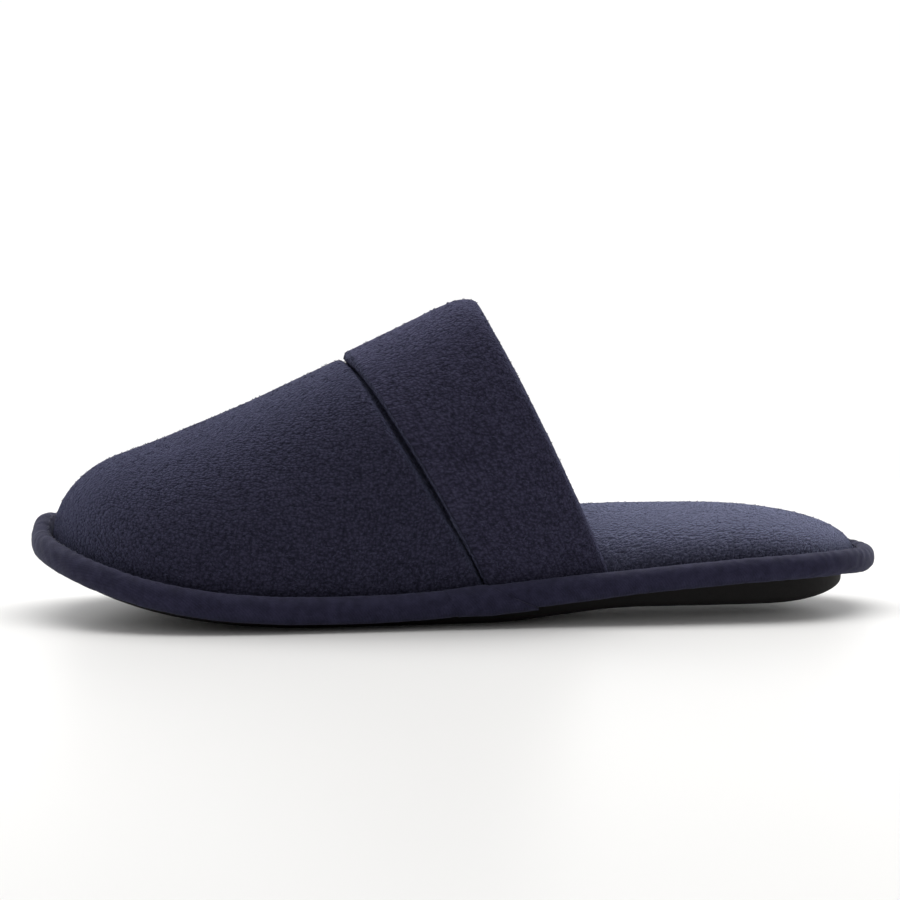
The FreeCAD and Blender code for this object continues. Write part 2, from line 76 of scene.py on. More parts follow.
TAPE_WIDE, TAPE_TALL, TAPE_WALL = 7.0, 8.8, 0.9
TOE_LIFT = 4.6


def smooth(x, start, end, skew=1.0):
    """0 before the start and 1 past the end, with an even run between."""
    t = np.clip((x - start) / (end - start), 0.0, 1.0) ** skew
    return t * t * (3 - 2 * t)


def sole_height(x):
    """Height of the sole line over the floor."""
    ahead = np.clip((BALL_X - x) / SPRING_LONG, 0.0, None)
    raised = HEEL_RAISE * smooth(x, RAISE_START, RAISE_END, RAISE_SKEW)
    return BALL_HEIGHT + TOE_SPRING * ahead**SPRING_POWER + raised


def ridge_height(x):
    behind = x - NOSE_START
    return NOSE_TOP + RIDGE_SLOPE * behind + RIDGE_BEND * behind**2


# ---- the sole line in plan

def unit(vectors):
    return vectors / np.linalg.norm(vectors, axis=-1, keepdims=True)


def closed_spline(points, count):
    """Samples of the smooth closed cubic through the points, and its slope at the points."""
    n, here = len(points), np.eye(len(points))
    step = np.linalg.norm(np.roll(points, -1, 0) - points, axis=1)[:, None]
    chord = (np.roll(points, -1, 0) - points) / step
    before = np.roll(step, 1, 0)
    matrix = 2 * (before + step) * here + before * np.roll(here, -1, 1) + step * np.roll(here, 1, 1)
    bend = np.linalg.solve(matrix, 6 * (chord - np.roll(chord, 1, 0)))
    knots = np.concatenate([[0], np.cumsum(step)])
    t = np.linspace(0, knots[-1], count, endpoint=False)
    i = np.clip(np.searchsorted(knots, t, side="right") - 1, 0, n - 1)
    j, h = (i + 1) % n, step[i]
    a, b = (knots[i + 1] - t)[:, None], (t - knots[i])[:, None]
    line = bend[i] * a**3 / (6 * h) + bend[j] * b**3 / (6 * h)
    line += (points[i] / h - bend[i] * h / 6) * a + (points[j] / h - bend[j] * h / 6) * b
    return line, chord - step * (2 * bend + np.roll(bend, -1, 0)) / 6


PLAN_POINTS = np.array([(share * HALF_LENGTH, y) for share, y in PLAN])
_, PLAN_SLOPES = closed_spline(PLAN_POINTS, 4)
PLAN_INWARDS = unit(np.stack([-PLAN_SLOPES[:, 1], PLAN_SLOPES[:, 0]], 1))


def plan_line(inset, count=2400):
    """The sole line in plan, moved inwards."""
    return closed_spline(PLAN_POINTS + PLAN_INWARDS * inset, count)[0]


@lru_cache(maxsize=None)
def plan_sides(inset):
    """The outer and the inner half of the inset sole line, each from the toe tip to the heel tip."""
    line = plan_line(inset)
    line = np.roll(line, -int(np.argmin(line[:, 0])), axis=0)
    heel = int(np.argmax(line[:, 0]))
    return line[: heel + 1], np.concatenate([line[heel:], line[:1]])[::-1]


def plan_span(inset, x):
    outer, inner = plan_sides(inset)
    return np.interp(x, outer[:, 0], outer[:, 1]), np.interp(x, inner[:, 0], inner[:, 1])


def plan_tips(inset):
    outer, _ = plan_sides(inset)
    return outer[0, 0], outer[-1, 0]


# ---- domes and cut lines

def rounding(x, start, tip, power):
    t = np.clip((x - start) / (tip - start), 0.0, 1.0)
    return (1 - t**power) ** (1 / power)


def oval(x, angle, inset, rise, power):
    """Points of a dome's section: angle 0 is its inner side, pi its outer side; past both it turns under."""
    outer, inner = plan_span(inset, x)
    middle, half = (outer + inner) / 2, (inner - outer) / 2
    c, s = np.cos(angle), np.sin(angle)
    across = np.where(s >= 0, np.sign(c) * np.abs(c) ** (2 / power), c)
    up = np.where(s >= 0, rise * np.abs(s) ** (2 / power), np.minimum(rise, OVAL_DEPTH) * s)
    return np.stack([x + 0 * across, middle + half * across, sole_height(x) + up], -1)


def upper_point(x, angle, depth):
    """A point of the upper at a depth under its outer surface; a negative depth stands proud of its ridge."""
    inset, proud = max(depth, 0.0), max(-depth, 0.0)
    tip = plan_tips(EDGE_INSET + inset)[0]
    full = ridge_height(x) - sole_height(x) - inset + proud
    return oval(x, angle, EDGE_INSET + inset, full * rounding(x, NOSE_START, tip, NOSE_POWER), UPPER_POWER)


def footbed_point(x, angle, depth, inset, toe, heel):
    """A point of the footbed at a depth, over the sole line at an inset between two tips."""
    back = smooth(x, CROWN_START, CROWN_END)
    crown = CROWN_FRONT * (1 - back) + (HEEL_TOP - sole_height(x)) * back
    ends = rounding(x, NOSE_START, toe, TOE_POWER) * rounding(x, HEEL_START, heel, HEEL_POWER)
    return oval(x, angle, inset, (crown - depth) * ends, FOOTBED_POWER)


def smooth_through(points, i, t):
    """A share t of the way from each point i + 1 to the next, on a smooth line (Catmull-Rom)."""
    a, b, c, d = points[i], points[i + 1], points[i + 2], points[i + 3]
    return 0.5 * (2 * b + (c - a) * t + (2 * a - 5 * b + 4 * c - d) * t**2 + (3 * b - a - 3 * c + d) * t**3)


def extended(points):
    """The points with one more, straight on, at each end."""
    return np.concatenate([[2 * points[0] - points[1]], points, [2 * points[-1] - points[-2]]])


def cut_line(ridge_x, foot_x, bulge):
    """A slanting cut seen from the side, from over the ridge to under the sole line."""
    top = np.array([ridge_x, ridge_height(ridge_x)])
    foot = np.array([foot_x, sole_height(foot_x)])
    along = unit(foot - top)
    heelwards = np.array([-along[1], along[0]])
    points = [top - along * 30]
    for share in (0.0, 0.22, 0.5, 0.78, 1.0):
        points.append(top + (foot - top) * share + heelwards * bulge * 4 * share * (1 - share))
    points.append(foot + along * 40)
    t = np.linspace(0, len(points) - 1 - 1e-9, 600)
    return smooth_through(extended(np.array(points)), t.astype(int), (t % 1.0)[:, None])


SEAM = cut_line(-37.9, 7.5, 1.6)
OPENING = cut_line(3.7, 49.1, 1.1)


def line_x(line, z):
    """X of a cut line at height z."""
    order = np.argsort(line[:, 1])
    return np.interp(z, line[order, 1], line[order, 0])


def crossing(point_at, angles, share, end, rounds):
    """X at each angle where a surface meets the line a share of the way from the cuff seam to the opening,
    found by halving."""
    low, high = np.full(np.shape(angles), -100.0), np.full(np.shape(angles), end)
    for _ in range(rounds):
        x = (low + high) / 2
        z = point_at(x)[..., 2]
        beyond = x > (1 - share) * line_x(SEAM, z) + share * line_x(OPENING, z)
        high, low = np.where(beyond, x, high), np.where(beyond, low, x)
    return (low + high) / 2


def seam_x(angles, depth):
    """X of the cuff seam on the upper at each angle."""
    return crossing(lambda x: upper_point(x, angles, depth), angles, 0.0, 70.0, 40)


# ---- grids
# A grid is an (n, m, 3) array of points. A closed one joins up in its second direction, a looped one in both.

def run_lengths(grid):
    """Distances run down each column of a grid."""
    steps = np.linalg.norm(np.diff(grid, axis=0), axis=2)
    return np.concatenate([np.zeros((1, grid.shape[1])), np.cumsum(steps, 0)])


def read_at(where, known, points):
    """The points of a run, read at places between its known places."""
    return np.stack([np.interp(where, known, points[:, k]) for k in range(3)], -1)


def even(points, count):
    """A dense grid resampled to even spacing along each column."""
    columns = zip(run_lengths(points).T, points.swapaxes(0, 1))
    return np.stack([read_at(np.linspace(0, run[-1], count), run, column) for run, column in columns], 1)


def close_at_ends(start, end, count):
    """Places from start to end, closer together near both."""
    share = (0.5 - 0.5 * np.cos(math.pi * np.linspace(0, 1, count)))[:, None]
    return start + (end - start) * share


def across_and_along(dense, rows, columns):
    """A dense grid resampled to even spacing both ways."""
    return even(even(dense, rows).swapaxes(0, 1), columns).swapaxes(0, 1)


def upsample(grid, n, m, closed=False):
    """A coarse grid read smoothly at n by m places."""
    def one_way(g, count, wrap):
        last = len(g) if wrap else len(g) - 1
        t = np.linspace(0, last, count, endpoint=not wrap)
        i = np.clip(t.astype(int), 0, last - 1)
        f = (t - i).reshape((-1,) + (1,) * (g.ndim - 1))
        return smooth_through(np.concatenate([g[-1:], g, g[:2]]) if wrap else extended(g), i, f)
    return one_way(one_way(grid, n, False).swapaxes(0, 1), m, closed).swapaxes(0, 1)


def normals_of(grid, closed=False):
    """Unit normals of a grid."""
    if closed:
        around = (np.roll(grid, -1, 1) - np.roll(grid, 1, 1)) / 2
    else:
        around = np.gradient(grid, axis=1)
    normal = np.cross(np.gradient(grid, axis=0), around)
    return normal / np.maximum(np.linalg.norm(normal, axis=2, keepdims=True), 1e-9)


def lengths_of(grid):
    """A cloth's own coordinates: distances run down its grid and, from the middle, across it."""
    around = run_lengths(grid.swapaxes(0, 1)).swapaxes(0, 1)
    middle = around[:, grid.shape[1] // 2][:, None]
    return run_lengths(grid), around - middle


def half_width(around):
    """The distance from the middle of the cloth to its edge, on each point's side."""
    return np.where(around < 0, -around[:, :1], around[:, -1:])


# ---- noise and pile

LOOP_LONG, LOOP_PITCH = 1.4, 1.15
PILE_RISE, PILE_JITTER = 0.11, 0.24
# How far the painted shade in a seam's crease lowers the pile value that sets the colour.
CREASE_SHADE_DROP = 5.0


def hashed(i, j, salt):
    """A repeatable number from 0 to 1 for each cell of a lattice."""
    n = (i.astype(np.int64) * 73856093) ^ (j.astype(np.int64) * 19349663)
    n = n ^ np.int64(salt * 83492791 + SEED)
    n = (n ^ (n >> 13)) * np.int64(1274126177)
    n = n & 0x7FFFFFFF
    n = (n ^ (n >> 16)) * np.int64(668265263) & 0x7FFFFFFF
    return (n % 65521) / 65521.0


def value_noise(u, v, salt):
    """Smooth noise from 0 to 1 with features about one unit across."""
    i, j = np.floor(u), np.floor(v)
    f, g = smooth(u - i, 0, 1), smooth(v - j, 0, 1)
    a, b = hashed(i, j, salt), hashed(i + 1, j, salt)
    c, d = hashed(i, j + 1, salt), hashed(i + 1, j + 1, salt)
    return (a * (1 - f) + b * f) * (1 - g) + (c * (1 - f) + d * f) * g


def wave(t):
    """0 at whole numbers and 1 half way between them."""
    return 0.5 - 0.5 * np.cos(2 * np.pi * t)


def pile_of(along, around, salt):
    """Height from 0 to 1 of terry pile: rows of loops, each leaning and standing a little differently."""
    lean = (value_noise(along / 9, around / 9, salt) - 0.5) * 2.4
    sway = (value_noise(along / 2.6, around / 2.6, salt + 1) - 0.5) * 1.1
    across = (around + lean + sway) / LOOP_PITCH
    row = np.floor(across)
    down = (along + 0.8 * lean) / LOOP_LONG + hashed(row, row * 0, salt + 2) * 7
    loop = np.floor(down)
    stand = 0.35 + 0.65 * hashed(loop, row, salt + 3)
    looped = wave(across) * (0.45 + 0.55 * wave(down)) * stand
    clump = value_noise(along / 1.3, around, salt + 4)
    patch = value_noise(along / 5.5, around / 4.5, salt + 5)
    return np.clip(0.6875 * looped + 0.405 * clump + 0.22 * (patch - 0.5), 0, 1.2)


def terry_facts(along, around, half, salt):
    """Pile height and cloth coordinates. Rows run along the slipper on top and along the sole at the sides,
    where the inner side's pattern is shifted so that it doesn't mirror the outer side's."""
    side = smooth(np.abs(around), 16.0, 30.0)
    from_edge = half - np.abs(around) + np.where(around < 0, 0, 400)
    flat = np.zeros_like(side)
    pile = pile_of(along, around, salt) * (1 - side) + pile_of(along, from_edge, salt + 20) * side
    return {
        "pile": pile,
        "cloth_top": np.stack([along, around, flat], -1),
        "cloth_side": np.stack([along, from_edge, flat], -1),
        "side": side,
        "crushed": flat,
    }


def open_terry_facts(grid, salt):
    along, around = lengths_of(grid)
    return terry_facts(along, around, half_width(around), salt)


def with_pile(grid, facts, salt, closed=False):
    """The grid with its pile raised, each point a little differently."""
    jitter = np.random.default_rng(SEED + salt).random(grid.shape[:2]) - 0.5
    lift = (facts["pile"] - 0.4) * PILE_RISE + jitter * PILE_JITTER
    return grid + normals_of(grid, closed) * lift[..., None]


def crushed(facts, distance, reach):
    """The same facts with painted shade near a seam: within reach of it the pile value, and so the colour,
    drops towards the darkest pit colour to stand for the shade in the seam's crease; the cloth's shape is not
    changed.
    """
    shaded_share = 1 - smooth(distance, 0.3 * reach, reach)
    return {**facts, "pile": facts["pile"] - CREASE_SHADE_DROP * shaded_share, "crushed": shaded_share}


# ---- meshes

LOOP_FACES = (
    [0, 1, 4, 3], [1, 2, 5, 4], [2, 0, 3, 5], [3, 4, 7, 6], [4, 5, 8, 7], [5, 3, 6, 8], [0, 2, 1], [6, 7, 8],
)


def add_mesh(name, vertices, faces, facts, material=None):
    """An object from millimetre vertices; facts are values kept at its vertices for its material."""
    mesh = bpy.data.meshes.new(name)
    mesh.from_pydata((np.asarray(vertices) * MM).tolist(), [], faces)
    for key, values in facts.items():
        kind, field = ("FLOAT", "value") if values.ndim == 1 else ("FLOAT_VECTOR", "vector")
        store = mesh.attributes.new(key, kind, "POINT").data
        store.foreach_set(field, np.asarray(values, np.float32).ravel())
    mesh.polygons.foreach_set("use_smooth", np.full(len(mesh.polygons), True))
    mesh.update()
    obj = bpy.data.objects.new(name, mesh)
    bpy.context.scene.collection.objects.link(obj)
    if material is not None:
        mesh.materials.append(material)
    return obj


def joined(*parts):
    """Several (vertices, faces, facts) as one."""
    vertices, faces, facts, start = [], [], {}, 0
    for points, polygons, values in parts:
        vertices.append(points)
        faces += [[start + k for k in polygon] for polygon in polygons]
        for key in values:
            facts.setdefault(key, []).append(values[key])
        start += len(points)
    return np.concatenate(vertices), faces, {key: np.concatenate(rows) for key, rows in facts.items()}


def grid_faces(n, m, start=0, closed=False, looped=False, flip=False):
    """Quads of an n by m grid."""
    i = np.arange(n if looped else n - 1)[:, None]
    j = np.arange(m if closed or looped else m - 1)[None, :]
    a, b = (i + 1) % n, (j + 1) % m
    quads = np.stack([i * m + j, a * m + j, a * m + b, i * m + b], -1).reshape(-1, 4) + start
    return (quads[:, ::-1] if flip else quads).tolist()


def end_caps(n, m, start=0):
    """The two end faces of a closed n by m grid."""
    return [[start + j for j in range(m)], [start + (n - 1) * m + j for j in range(m)][::-1]]


def border(n, m):
    """Indices round the edge of a grid, in order."""
    index = np.arange(n * m).reshape(n, m)
    return np.concatenate([index[0, :-1], index[:-1, -1], index[-1, :0:-1], index[:0:-1, 0]]).tolist()


def flattened(values):
    """A grid of values as one row."""
    return values.reshape((-1,) + values.shape[2:])


def shell(outer, inner, ratio, facts):
    """A closed piece: an outer grid with its facts, and an inner one that has every ratio-th line."""
    n, m, _ = outer.shape
    a, b, _ = inner.shape
    faces = grid_faces(n, m) + grid_faces(a, b, n * m, flip=True)
    fine, coarse = border(n, m), border(a, b)
    middle = ratio // 2
    for c in range(len(coarse)):
        run = [fine[(c * ratio + k) % len(fine)] for k in range(ratio + 1)]
        start, end = coarse[c] + n * m, coarse[(c + 1) % len(coarse)] + n * m
        faces += [[run[k], run[k + 1], start] for k in range(middle)]
        faces += [[run[middle], end, start]]
        faces += [[run[k], run[k + 1], end] for k in range(middle, ratio)]
    kept = {}
    for key, values in facts.items():
        kept[key] = np.concatenate([flattened(values), flattened(values[::ratio, ::ratio])])
    return np.concatenate([flattened(outer), flattened(inner)]), faces, kept


def layer_between(name, top, bottom, material):
    return add_mesh(name, *shell(top, bottom, 1, {}), material)


def band(grid, facts):
    """A closed grid as a solid band, capped at both ends."""
    n, m, _ = grid.shape
    faces = grid_faces(n, m, closed=True) + end_caps(n, m)
    return flattened(grid), faces, {key: flattened(values) for key, values in facts.items()}


def stray_loops(grid, facts, count, salt, closed=False):
    """Longer loops that stand out of the pile: thin arches, mostly along the rows."""
    rng = np.random.default_rng(SEED + salt)
    corner, next_row, next_column = grid[:-1, :-1], grid[1:, :-1], grid[:-1, 1:]
    areas = np.linalg.norm(np.cross(next_row - corner, next_column - corner), axis=2)
    ladder = np.cumsum(areas.ravel())
    spots = np.searchsorted(ladder, (np.arange(count) + rng.random(count)) / count * ladder[-1])
    i, j = np.unravel_index(spots, corner.shape[:2])
    shares = rng.random((2, count, 1))
    down_row, down_column = grid[i + 1, j] - grid[i, j], grid[i, j + 1] - grid[i, j]
    place = grid[i, j] + down_row * shares[0] + down_column * shares[1]
    up = normals_of(grid, closed)[i, j]
    heading = np.array([1.0, 0.0, 0.0]) + 0.35 * down_row
    heading = unit(heading - up * np.sum(heading * up, axis=1)[:, None])
    turn = rng.normal(0, 0.55, (count, 1))
    along = heading * np.cos(turn) + np.cross(up, heading) * np.sin(turn)
    across = np.cross(up, along)
    long = rng.uniform(0.8, 1.5, (count, 1))
    tall = rng.uniform(0.14, 0.40, (count, 1))
    thick = rng.uniform(0.09, 0.15, (count, 1))
    lean = rng.normal(0, 0.16, (count, 1))
    root, reach = place - up * 0.25, along * long / 2
    corners = []
    for centre in (root - reach, place + up * tall + across * lean, root + reach):
        for angle in np.radians((90, 210, 330)):
            corners.append(centre + (across * math.cos(angle) + up * math.sin(angle)) * thick)
    vertices = np.stack(corners, axis=1).reshape(-1, 3)
    faces = [[9 * k + c for c in polygon] for k in range(count) for polygon in LOOP_FACES]
    kept = {key: np.repeat(values[i, j], 9, axis=0) for key, values in facts.items()}
    # Painted highlight: each loop's arch takes the lightest pile colour and its ends a middle one. Its
    # lightness also differs at random from loop to loop, and in a seam's crease the painted shade darkens it.
    light = np.tile([0.5] * 3 + [1.15] * 3 + [0.5] * 3, count) * np.repeat(rng.uniform(0.7, 1.1, count), 9)
    kept["pile"] = light - CREASE_SHADE_DROP * kept["crushed"]
    return vertices, faces, kept


# ---- cloth simulation

PRESSURE = 4.0
FRAMES = 20
SWELL = 1.1


def held_edges(grid):
    held = np.ones(grid.shape[:2], bool)
    held[1:-1, 1:-1] = False
    return held


def puffed(grid, pinned, stiffness, closed=False):
    """How far each point of a coarse cloth grid moves when it is pinned and blown up from behind."""
    n, m, _ = grid.shape
    obj = add_mesh("blown_cloth", flattened(grid), grid_faces(n, m, closed=closed), {})
    group = obj.vertex_groups.new(name="held")
    group.add([int(k) for k in np.nonzero(pinned.ravel())[0]], 1.0, "REPLACE")
    cloth = obj.modifiers.new("cloth", "CLOTH")
    settings = cloth.settings
    settings.quality = 6
    settings.mass = 0.004
    settings.tension_stiffness = settings.compression_stiffness = stiffness
    settings.shear_stiffness = stiffness / 2
    settings.bending_stiffness = stiffness / 30
    settings.vertex_group_mass = "held"
    settings.use_pressure = True
    settings.uniform_pressure_force = PRESSURE
    settings.effector_weights.gravity = 0.0
    cloth.collision_settings.use_collision = False
    scene = bpy.context.scene
    for number in range(1, FRAMES + 1):
        scene.frame_set(number)
    graph = bpy.context.evaluated_depsgraph_get()
    blown = np.empty(n * m * 3)
    obj.evaluated_get(graph).data.vertices.foreach_get("co", blown)
    bpy.data.objects.remove(obj)
    scene.frame_set(1)
    normal = normals_of(grid, closed)
    swell = np.maximum(np.sum((blown.reshape(n, m, 3) / MM - grid) * normal, axis=2), 0)
    swell = SWELL * np.tanh(swell / SWELL)
    for _ in range(3):
        swell = (swell + np.roll(swell, 1, 1) + np.roll(swell, -1, 1)) / 3
        swell[1:-1] = (swell[:-2] + swell[1:-1] + swell[2:]) / 3
        swell[pinned] = 0.0
    return normal * swell[..., None]


# ---- materials

BAND_WIDTH = 0.314  # of the wave texture at scale 1

def feed(made, inputs):
    """Set a node's inputs to values, or join them to the outputs of other nodes."""
    for key, value in inputs.items():
        if isinstance(value, bpy.types.NodeSocket):
            made.id_data.links.new(value, made.inputs[key])
        else:
            made.inputs[key].default_value = value


def node(owner, kind, inputs=None, **settings):
    """A new node of a material or a world, with its properties set by name and its inputs fed."""
    made = owner.node_tree.nodes.new("ShaderNode" + kind)
    for key, value in settings.items():
        setattr(made, key, value)
    feed(made, inputs or {})
    return made


def shader_of(material):
    return material.node_tree.nodes["Principled BSDF"]


def new_material(name, roughness, specular=0.3, sheen=0.0, sheen_tint=(1, 1, 1), sheen_roughness=0.5):
    material = bpy.data.materials.new(name)
    material.use_nodes = True
    feed(shader_of(material), {
        "Roughness": roughness, "Specular IOR Level": specular, "Sheen Weight": sheen,
        "Sheen Roughness": sheen_roughness, "Sheen Tint": (*sheen_tint, 1),
    })
    return material


def placed(material, stretch=(1.0, 1.0, 1.0)):
    """Object coordinates in millimetres, divided by the stretch along each axis."""
    where = node(material, "TexCoord").outputs["Object"]
    inputs = {"Vector": where, "Scale": [1 / (MM * k) for k in stretch]}
    return node(material, "Mapping", inputs).outputs["Vector"]


def noise(material, vector, size, detail=2.0, roughness=0.5, output="Fac"):
    """Noise with features about that many millimetres across."""
    inputs = {"Vector": vector, "Scale": 1 / size, "Detail": detail, "Roughness": roughness}
    return node(material, "TexNoise", inputs).outputs[output]


def bands(material, vector, direction, pitch, distortion):
    """Light and dark bands of threads at a pitch in millimetres."""
    inputs = {"Vector": vector, "Scale": BAND_WIDTH / pitch, "Distortion": distortion}
    made = node(material, "TexWave", inputs, wave_type="BANDS", bands_direction=direction)
    return made.outputs["Fac"]


def combined(material, *weighted):
    """The sum of values times weights, as one output."""
    total = 0.0
    for value, weight in weighted:
        inputs = {0: value, 1: weight, 2: total}
        total = node(material, "Math", inputs, operation="MULTIPLY_ADD").outputs[0]
    return total


def coloured(material, value, *stops):
    """Base colour from a value through a ramp of (position, linear colour) stops."""
    ramp = node(material, "ValToRGB", {"Fac": value})
    elements = ramp.color_ramp.elements
    while len(elements) < len(stops):
        elements.new(0.5)
    for element, (position, colour) in zip(elements, stops):
        element.position = position
        element.color = (*colour, 1)
    feed(shader_of(material), {"Base Color": ramp.outputs["Color"]})


def finished(material, height, depth, *stops):
    """The material with colour stops, and bump of a depth in millimetres, that both follow a height."""
    coloured(material, height, *stops)
    bump = node(material, "Bump", {"Distance": depth * MM, "Strength": 1.0, "Height": height})
    feed(shader_of(material), {"Normal": bump.outputs["Normal"]})
    return material


def loop_pattern(material, cloth, fibres):
    """Rows of pile loops in the cloth's own coordinates, some lighter and some darker."""
    wander = noise(material, cloth, 1 / 0.35, output="Color")
    sway_inputs = {0: wander, 1: (2.4, 1.8, 0.0), 2: cloth}
    sway = node(material, "VectorMath", sway_inputs, operation="MULTIPLY_ADD").outputs["Vector"]
    squeeze_inputs = {0: sway, 1: (1 / 1.22, 1 / 0.98, 0.0)}
    squeeze = node(material, "VectorMath", squeeze_inputs, operation="MULTIPLY").outputs["Vector"]
    loop_inputs = {"Vector": squeeze, "Scale": 1.0, "Randomness": 0.8}
    loops = node(material, "TexVoronoi", loop_inputs, voronoi_dimensions="2D")
    shade = node(material, "SeparateColor", {"Color": loops.outputs["Color"]})
    distance, light = loops.outputs["Distance"], shade.outputs["Red"]
    # The Voronoi distance darkens the gaps between the loops as painted shade; the cell colour makes some
    # loops lighter and some darker at random.
    return combined(material, (distance, -0.85), (light, 0.34), (fibres, 0.95))


def terry_material(name, pit, middle, tip, sheen, sheen_tint):
    """Looped pile: dark pits between rows of short loops, lighter at their tips, with a bluish bloom; the
    darker pits are painted shade and the lighter tips a painted highlight, both following the pile height.
    """
    material = new_material(name, 0.95, 0.12, sheen, sheen_tint, 0.45)
    fibres = noise(material, placed(material), 0.45, 3.0, 0.75)
    fact = {
        key: node(material, "Attribute", attribute_name=key).outputs
        for key in ("cloth_top", "cloth_side", "side", "pile")
    }
    on_top = loop_pattern(material, fact["cloth_top"]["Vector"], fibres)
    at_side = loop_pattern(material, fact["cloth_side"]["Vector"], fibres)
    mixed = node(material, "Mix", {0: fact["side"]["Fac"], 2: on_top, 3: at_side})
    height = combined(material, (mixed.outputs[0], 1.1), (fact["pile"]["Fac"], 0.22))
    return finished(material, height, 0.60, (0.05, pit), (0.42, middle), (0.85, tip))


def tape_material():
    """Fine plain-woven bias tape, its threads on the slant."""
    material = new_material("navy_tape", 0.82, 0.2, 0.12, (0.7, 0.75, 1.0), 0.4)
    vector = placed(material)
    weave = bands(material, vector, "DIAGONAL", 0.571, 1.5)
    mottle = noise(material, vector, 3.4, 3.0, 0.6)
    threads = noise(material, vector, 0.3, 2.0, 0.6)
    height = combined(material, (mottle, 0.7), (threads, 0.55), (weave, 0.10))
    dark, middle, light = (0.0076, 0.0070, 0.0195), (0.0145, 0.0135, 0.0355), (0.0290, 0.0275, 0.0620)
    return finished(material, height, 0.25, (0.35, dark), (0.60, middle), (0.90, light))


def rubber_material():
    material = new_material("sole_rubber", 0.72, 0.35)
    vector = placed(material)
    grain = noise(material, vector, 0.7, 4.0, 0.6)
    scuffs = noise(material, vector, 14.0, 3.0, 0.6)
    height = combined(material, (grain, 0.6), (scuffs, 0.4))
    dark, light = (0.0025, 0.0019, 0.0020), (0.0075, 0.0058, 0.0060)
    return finished(material, height, 0.25, (0.30, dark), (0.75, light))


def woven_material(name, dark, light, pitch):
    """A plain weave of flat threads."""
    material = new_material(name, 0.9, 0.15, 0.1, (0.7, 0.75, 1.0))
    vector = placed(material)
    warp, weft = (bands(material, vector, direction, pitch, 0.6) for direction in "XY")
    mottle = noise(material, vector, 2.5, 3.0, 0.6)
    height = combined(material, (warp, 0.25), (weft, 0.25), (mottle, 0.6))
    return finished(material, height, 0.3, (0.3, dark), (0.8, light))


def foam_material():
    """Cream foam with open pores."""
    material = new_material("cream_foam", 0.9, 0.2)
    vector = placed(material)
    pores = node(material, "TexVoronoi", {"Vector": vector, "Scale": 1 / 0.9}).outputs["Distance"]
    mottle = noise(material, vector, 4.0)
    height = combined(material, (pores, 0.8), (mottle, 0.3))
    return finished(material, height, 0.4, (0.1, (0.42, 0.37, 0.26)), (0.7, (0.74, 0.69, 0.56)))


def board_material():
    """Pressed fibre board."""
    material = new_material("pressed_board", 0.85, 0.2)
    vector = placed(material, (2.5, 1.0, 1.0))
    fibres = noise(material, vector, 1.2, 5.0, 0.7)
    mottle = noise(material, vector, 9.0)
    height = combined(material, (fibres, 0.7), (mottle, 0.3))
    return finished(material, height, 0.3, (0.3, (0.10, 0.085, 0.065)), (0.7, (0.24, 0.20, 0.16)))


def twisted_material(name, dark, light, pitch):
    """Spun thread or cord: fine fibres wound on the slant."""
    material = new_material(name, 0.7, 0.25, 0.1)
    vector = placed(material)
    wound = bands(material, vector, "DIAGONAL", pitch, 2.0)
    height = combined(material, (wound, 0.6), (noise(material, vector, 0.5), 0.4))
    return finished(material, height, 0.15, (0.2, dark), (0.9, light))


vamp_terry = terry_material(
    "navy_terry", (0.0090, 0.0082, 0.0185), (0.0235, 0.0212, 0.0440), (0.0510, 0.0475, 0.0860),
    0.35, (0.55, 0.60, 1.0),
)
# Painted light: the cuff uses the navy terry made about 1.2 times lighter, standing for the brighter light
# that falls on the cuff.
cuff_terry = terry_material(
    "cuff_terry", (0.0110, 0.0100, 0.0220), (0.0285, 0.0257, 0.0535), (0.0610, 0.0565, 0.1020),
    0.38, (0.57, 0.60, 1.0),
)
# Painted light: the footbed uses the navy terry made about 1.4 times lighter, standing for the light on its
# top; its strong sheen is the shader's own.
footbed_top_lit_terry = terry_material(
    "footbed_top_lit_terry", (0.0125, 0.0115, 0.0245), (0.0330, 0.0315, 0.0620), (0.0760, 0.0755, 0.1210),
    1.0, (0.62, 0.67, 1.0),
)
tape = tape_material()
sole_weave = woven_material("sole_cloth", (0.006, 0.006, 0.012), (0.022, 0.022, 0.040), 0.6)
lining_weave = woven_material("upper_lining", (0.012, 0.012, 0.026), (0.036, 0.036, 0.066), 0.9)
foam = foam_material()
thread = twisted_material("navy_thread", (0.010, 0.010, 0.028), (0.040, 0.040, 0.085), 0.5)
filler = twisted_material("cotton_filler", (0.45, 0.42, 0.36), (0.78, 0.76, 0.70), 0.9)


# ---- upper

RATIO = 5
TUCK = 0.13
SUNK = 0.6
CLOTH_THICK = 1.2
UPPER_ROWS, UPPER_COLUMNS = 50, 60
VAMP_STRAYS = 3000
NOSE_FULLNESS, SEAM_FULLNESS = 0.7, 0.7
SEAM_OVERLAP = 1.05
# The last of these is how far from the seam the vamp's colour is darkened as painted shade in the crease.
CREASE, CREASE_REACH, CREASE_DROP, CREASE_SHADE_REACH = 1.8, 3.2, 3.4, 3.0
CUFF_FORWARD = 2.0
TIP_GAP = 0.002


def dome_angles(count):
    """Angles over a dome, from under its outer side to under its inner side."""
    return np.linspace(math.pi + TUCK, -TUCK, count)


def ridge_share(angles):
    """1 at the ridge, fading to 0 down both sides."""
    return np.exp(-(((angles - math.pi / 2) / 0.30) ** 2))


def upper_grid(depth, rows, columns, gap):
    """The upper at a depth, from the toe to a gap before the cuff seam: its rows run over the foot."""
    angles = dome_angles(181)
    end = seam_x(angles, depth) - gap - CUFF_FORWARD * ridge_share(angles)
    tip = plan_tips(EDGE_INSET + max(depth, 0))[0] + TIP_GAP
    share = np.linspace(0, 1, 420)[:, None] ** 2.4
    x = tip + (end - tip) * share
    return across_and_along(upper_point(x, angles[None, :] + 0 * x, depth), rows, columns)


def from_end(grid):
    """Distance from each point to the last row, along its column."""
    along = run_lengths(grid)
    return along[-1:] - along


